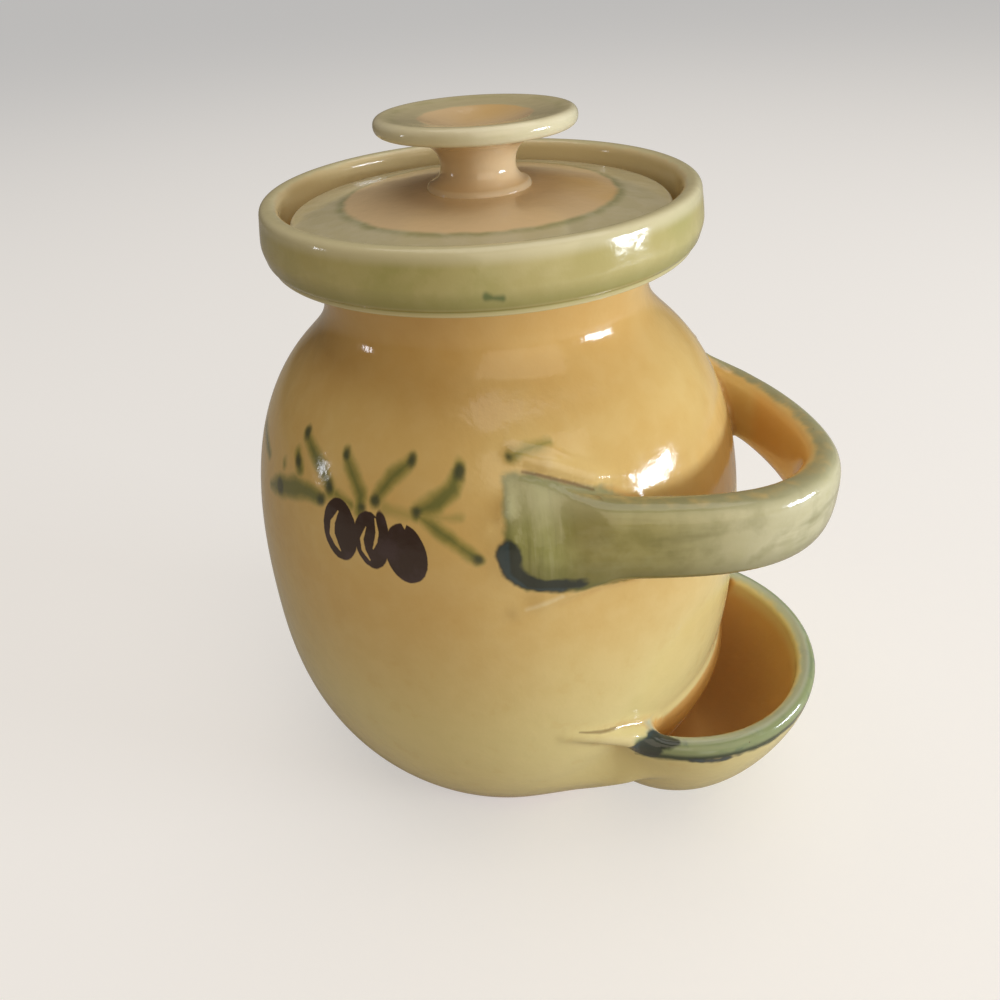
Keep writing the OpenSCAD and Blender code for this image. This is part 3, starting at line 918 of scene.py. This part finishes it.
def brush_stroke():
    """Node group for one tapered stroke. A spot carries its place and how far inside the strokes so far
    it lies; an end holds its place and half width."""
    tree = bpy.data.node_groups.new("brush stroke", "ShaderNodeTree")
    for label in ("Spot", "From", "To"):
        tree.interface.new_socket(label, in_out="INPUT", socket_type="NodeSocketVector")
    tree.interface.new_socket("Spot", in_out="OUTPUT", socket_type="NodeSocketVector")
    spot, a, b = tree.nodes.new("NodeGroupInput").outputs[:3]
    way = add(tree, "VectorMath", [b, a], operation="SUBTRACT")
    flat = add(tree, "VectorMath", [way, (1, 1, 0)], operation="MULTIPLY")
    off = add(tree, "VectorMath", [spot, a], operation="SUBTRACT")
    off = add(tree, "VectorMath", [off, (1, 1, 0)], operation="MULTIPLY")
    reach = add(tree, "VectorMath", [off, flat], out=1, operation="DOT_PRODUCT")
    whole = add(tree, "VectorMath", [flat, flat], out=1, operation="DOT_PRODUCT")
    share = add(tree, "Math", [reach, whole], operation="DIVIDE", use_clamp=True)
    near = add(tree, "VectorMath", {0: flat, "Scale": share}, operation="SCALE")
    gap = add(tree, "VectorMath", [off, near], out=1, operation="DISTANCE")
    half, widen, so_far = (add(tree, "SeparateXYZ", [v], out=2) for v in (a, way, spot))
    half = add(tree, "Math", [share, widen, half], operation="MULTIPLY_ADD")
    inside = add(tree, "Math", [half, gap], operation="SUBTRACT")
    inside = add(tree, "Math", [inside, so_far], operation="MAXIMUM")
    inside = add(tree, "CombineXYZ", [0.0, 0.0, inside])
    spot = add(tree, "VectorMath", [spot, (1, 1, 0), inside], operation="MULTIPLY_ADD")
    tree.links.new(spot, tree.nodes.new("NodeGroupOutput").inputs[0])
    return tree


stroke_tree = brush_stroke()


def on_plan(degrees, height, third=0.0):
    """Place on the wall unrolled flat, in millimetres."""
    return (math.radians(degrees) * belly_r, height, third)


def unrolled(tree, look):
    """Spot on the unrolled wall for each place on the glaze."""
    x, y, z = (add(tree, "SeparateXYZ", [look["place"]], out=i) for i in range(3))
    angle = add(tree, "Math", [y, x], operation="ARCTAN2")
    across = add(tree, "Math", [angle, belly_r], operation="MULTIPLY")
    return add(tree, "CombineXYZ", [across, z, -FAR])


def strokes(tree, spot, lines):
    """How far inside any of the painted lines a spot lies."""
    for line in lines:
        for ends in zip(line[:-1], line[1:]):
            held = tree.nodes.new("ShaderNodeGroup")
            held.node_tree = stroke_tree
            tree.links.new(spot, held.inputs[0])
            for place, end in enumerate(ends, 1):
                held.inputs[place].default_value = on_plan(*end)
            spot = held.outputs[0]
    return add(tree, "SeparateXYZ", [spot], out=2)


def olive_sprig(tree, look, colour):
    """Three dark brown olives under green leaves, over the strap's and the lip's green. The leaves
    bleed into the glaze; the olives are thick slip with a crisp edge."""
    colour = strap_and_lip(tree, look, colour)
    spot = unrolled(tree, look)
    bleed = add(tree, "Math", [look["mottle"], 2.4, -1.2], operation="MULTIPLY_ADD")
    leaf, faint = (add(tree, "Math", [strokes(tree, spot, lines), bleed], operation="ADD")
                   for lines in (LEAVES, FAINT))
    dots = [[(a, h, half), (a + 0.1, h, half)] for a, h, half in LEAF_DRIED]
    dried = add(tree, "Math", [strokes(tree, spot, dots), bleed], operation="ADD")
    crease_shadow, ridge_highlight = (strokes(tree, spot, lines) for lines in (CREASE_SHADOWS, RIDGE_HIGHLIGHT))
    # A painted highlight along the ridge and painted shade in the creases come first
    colour = coats(tree, colour, [
        (ridge_highlight, -0.8, 0.15, 0.40, "#F3E4B8"),
        (crease_shadow, -0.35, 0.12, 0.60, "#6A4A26"),
        (faint, -0.9, 1.0, 0.55, "#989450"),
        (leaf, -1.1, 0.5, 0.72, "#8F8D47"),
        (leaf, -0.1, 1.4, 0.75, "#656E3C"),
        (dried, -0.9, 0.6, 0.80, "#434B3C"),
    ])
    olive = -1.0
    for degrees, height, half, tall, lean in OLIVES:
        off = add(tree, "VectorMath", [spot, on_plan(degrees, height)], operation="SUBTRACT")
        off_across, off_up = (add(tree, "SeparateXYZ", [off], out=i) for i in (0, 1))
        off_across = add(tree, "Math", [off_up, -lean, off_across], operation="MULTIPLY_ADD")
        shape = add(tree, "CombineXYZ", [off_across, off_up, 0.0])
        shape = add(tree, "VectorMath", [shape, (1 / half, 1 / tall, 1)], operation="MULTIPLY")
        inside = add(tree, "VectorMath", [shape], out=1, operation="LENGTH")
        inside = add(tree, "Math", [inside, -half, half], operation="MULTIPLY_ADD")
        olive = add(tree, "Math", [olive, inside], operation="MAXIMUM")
    bare = add(tree, "Math", [strokes(tree, spot, CRESCENTS), -1.0], operation="MULTIPLY")
    olive = add(tree, "Math", [olive, bare], operation="MINIMUM")
    rough_edge = add(tree, "Math", [look["grain"], 0.3, -0.15], operation="MULTIPLY_ADD")
    olive = add(tree, "Math", [olive, rough_edge], operation="ADD")
    slip = coats(tree, "#443630", [(look["mottle"], 0.45, 0.65, 0.5, "#54464A")])
    return coats(tree, colour, [(olive, -0.12, 0.14, 1.0, slip)])


def rim_green(tree, look, colour):
    """Olive green outside the rim, darker where it sags, cream where it breaks on the crest, with a
    painted highlight there and on the pale line at its foot; the seat inside is left yellow-brown."""
    flat = add(tree, "VectorMath", [look["place"], (1, 1, 0)], operation="MULTIPLY")
    r = add(tree, "VectorMath", [flat], out=1, operation="LENGTH")
    r = add(tree, "Math", [look["wander"], 1.2, r], operation="MULTIPLY_ADD")
    green = coats(tree, "#C2B87C", [
        (look["cloud"], 0.40, 0.60, 0.55, "#A9AA68"),
        (look["mottle"], 0.42, 0.64, 0.4, "#CDC48C"),
        (look["height"], under_z + 5.5, under_z + 1.8, 0.6, "#8E8C4C"),
        # Cream on the crest and its edges: partly the glaze breaking thin, partly a painted highlight
        (look["height"], jar_h - 3.2, jar_h - 1.0, 0.85, "#DDD7B0"),
        (look["edge"], 0.20, 0.60, 0.5, "#EBE6C8"),
        # Pale line at the foot of the rim's face: partly the glaze breaking over the edge, partly a
        # painted highlight
        (look["height"], under_z + 1.3, under_z + 0.9, 0.7, "#DCD3A0"),
    ])
    colour = coats(tree, colour, [(look["height"], seat_z + 1, seat_z + 4, 0.85, "#DCCDA2")])
    colour = coats(tree, colour, [(r, gallery_r + 0.9, gallery_r + 1.7, 1.0, green)])
    flaw = strokes(tree, unrolled(tree, look), RIM_FLAW)
    return coats(tree, colour, [(flaw, -0.6, 0.5, 0.75, "#4E6A3F")])


def ring_green(inner, band, border, edge, wash, dish=None):
    """A painter that brushes green from one radius outward, with a darker border line. A dish gives
    a height and a radius: above the height a thin wash starts at that radius instead."""
    def paint(tree, look, colour):
        flat = add(tree, "VectorMath", [look["place"], (1, 1, 0)], operation="MULTIPLY")
        r = add(tree, "VectorMath", [flat], out=1, operation="LENGTH")
        r = add(tree, "Math", [look["wander"], 1.4, r], operation="MULTIPLY_ADD")
        band_colour = coats(tree, band, [
            (r, inner + 3.4, inner + 1.2, 0.75, border),
            (look["mottle"], 0.42, 0.64, 0.4, wash),
            (look["edge"], 0.10, 0.50, 0.75, edge),
        ])
        # Patchy pale peach over the yellow: partly the glaze's own tone, partly a painted reflection of
        # the surroundings
        pale_and_reflection = coats(tree, colour, [(look["cloud"], 0.2, 0.5, 0.80, "#E8D2AE")])
        if dish:
            high = add(tree, "Math", [look["height"], dish[0]], operation="SUBTRACT")
            wide = add(tree, "Math", [r, dish[1]], operation="SUBTRACT")
            washed = add(tree, "Math", [high, wide], operation="MINIMUM")
            pale_and_reflection = coats(tree, pale_and_reflection, [(washed, -0.2, 0.6, 0.9, "#D3CDA6")])
        return coats(tree, pale_and_reflection, [(r, inner, inner + 1.6, 1.0, band_colour)])
    return paint


# Parts of the wall with painted lines: angles from +X and heights, lowest and highest of each
BY_SPRIG = (-144, -38, 80, 118)
BY_LIP = (-54, -34, 43, 50)
# How far below its skin a point still counts as the outside of the wall
SKIN_DEEP = 2.5
# Where the green starts on the lid and on the knob, from the axis
LID_RING_R, KNOB_RING_R = 26.8, 15.2

jar.data.materials.clear()
jar.data.materials.append(glaze("yellow glaze with brushed green", strap_and_lip))
jar.data.materials.append(glaze("yellow glaze with the olive sprig", olive_sprig))
for face in jar.data.polygons:
    x, y, z = face.center / MM
    degrees = math.degrees(math.atan2(y, x))
    skin_r = np.interp(z, wall_rings, wall_radii)
    lined = any(first < degrees < last and low < z < high
                for first, last, low, high in (BY_SPRIG, BY_LIP))
    if lined and math.hypot(x, y) > skin_r - SKIN_DEEP:
        face.material_index = 1
rim.data.materials.append(glaze("olive green brushed glaze", rim_green))
lid.data.materials.append(glaze("yellow glaze with a green ring", ring_green(
    LID_RING_R, "#C9C3A0", "#969A6C", "#E2DEC8", "#D6D1B6")))
knob.data.materials.append(glaze("yellow glaze with a green edge", ring_green(
    KNOB_RING_R, "#DDD6AC", "#C6C194", "#EDE8CC", "#E3DCB8",
    dish=(knob_top_z - 1.5, DISH_R + 0.5))))

# Fired clay wiped free of glaze: matt and warm, sandy with grains of 0.7 mm
material, tree, place = start("bare earthenware")
clay_grain = add(tree, "TexNoise", {"Vector": place, "Scale": 1 / 0.7, "Detail": 4})
clay = coats(tree, "#B98762", [(clay_grain, 0.35, 0.65, 1.0, "#D3A581")])
bump = add(tree, "Bump", {"Height": clay_grain, "Distance": 0.15 * MM, "Strength": 0.6})
shader = add(tree, "BsdfPrincipled", {"Base Color": clay, "Roughness": 0.85, "Normal": bump})
add(tree, "OutputMaterial", {"Surface": shader})
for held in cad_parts["foot_ring"].material_slots:
    held.material = material

scene = bpy.context.scene

# Floor of pale card, made whiter for the camera alone, so its shadow and reflection stay plain
FLOOR_HALF = 12
corners = [(x * FLOOR_HALF, y * FLOOR_HALF, 0) for x, y in ((-1, -1), (1, -1), (1, 1), (-1, 1))]
floor = bpy.data.meshes.new("floor")
floor.from_pydata(corners, [], [(0, 1, 2, 3)])
floor = bpy.data.objects.new("floor", floor)
scene.collection.objects.link(floor)
material, tree, place = start("pale matt card")
card = add(tree, "BsdfDiffuse", {"Color": linear("#CCC8C1")})
seen = add(tree, "Emission", {"Color": linear("#F2F3F4"), "Strength": 0.50})
both = add(tree, "AddShader", [card, seen])
to_camera = add(tree, "LightPath", out="Is Camera Ray")
shader = add(tree, "MixShader", [to_camera, card, both])
add(tree, "OutputMaterial", {"Surface": shader})
floor.data.materials.append(material)

# Where the camera stands: metres from the jar's axis and above the floor, then degrees round the
# jar, down and rolled
CAMERA_AWAY, CAMERA_UP = 0.16619, 0.1850
CAMERA_ROUND, CAMERA_DOWN, CAMERA_ROLL = (math.radians(a) for a in (29.1, 34.64, -3.72))
camera = bpy.data.objects.new("camera", bpy.data.cameras.new("camera"))
scene.collection.objects.link(camera)
camera.data.lens = 28.8
camera.data.clip_start = 0.01
stand = Vector((math.sin(CAMERA_ROUND), -math.cos(CAMERA_ROUND), 0)) * CAMERA_AWAY
camera.matrix_world = (
    Matrix.Translation(stand + Vector((0, 0, CAMERA_UP)))
    @ Matrix.Rotation(CAMERA_ROUND, 4, "Z")
    @ Matrix.Rotation(math.pi / 2 - CAMERA_DOWN, 4, "X")
    @ Matrix.Rotation(CAMERA_ROLL, 4, "Z")
)
scene.camera = camera
scene.view_settings.view_transform = "Standard"

# A faint warm fill comes from all round, and the camera alone sees the pale backdrop
world = bpy.data.worlds.new("studio")
scene.world = world
world.use_nodes = True
world.node_tree.nodes.clear()
tree = world.node_tree
fill = add(tree, "Background", {"Color": linear("#FFE8CC"), "Strength": 0.10})
back = add(tree, "Background", {"Color": linear("#F1F1F0"), "Strength": 0.9})
shader = add(tree, "MixShader", [add(tree, "LightPath", out="Is Camera Ray"), fill, back])
add(tree, "OutputWorld", {"Surface": shader})


# Height that the lamps face, in metres
LAMPS_AIM = 0.08


def lamp(name, azimuth, elevation, distance, width, height, power, colour):
    """A soft box that faces the jar: degrees from +X and up, metres away, its size and its watts."""
    light = bpy.data.lights.new(name, "AREA")
    light.shape = "RECTANGLE"
    light.size, light.size_y = width, height
    light.energy = power
    light.color = linear(colour)[:3]
    a, e = math.radians(azimuth), math.radians(elevation)
    back = Vector((math.cos(a) * math.cos(e), math.sin(a) * math.cos(e), math.sin(e)))
    box = bpy.data.objects.new(name, light)
    box.matrix_world = (Matrix.Translation(Vector((0, 0, LAMPS_AIM)) + back * distance)
                        @ back.to_track_quat("Z", "Y").to_matrix().to_4x4())
    scene.collection.objects.link(box)


# Plain studio light: a strip each side of the jar, a large card in front and one overhead
lamp("side_strip", 13, 4.5, 1.0, 0.35, 0.13, 6.9, "#E9F2FF")
lamp("back_strip", -147, 7, 1.1, 0.05, 0.14, 0.35, "#F4F6FF")
lamp("front_card", -40, 24, 1.3, 1.2, 1.2, 5.8, "#FFECD4")
lamp("overhead", 60, 84, 1.3, 1.4, 1.4, 9.0, "#FFF8F0")
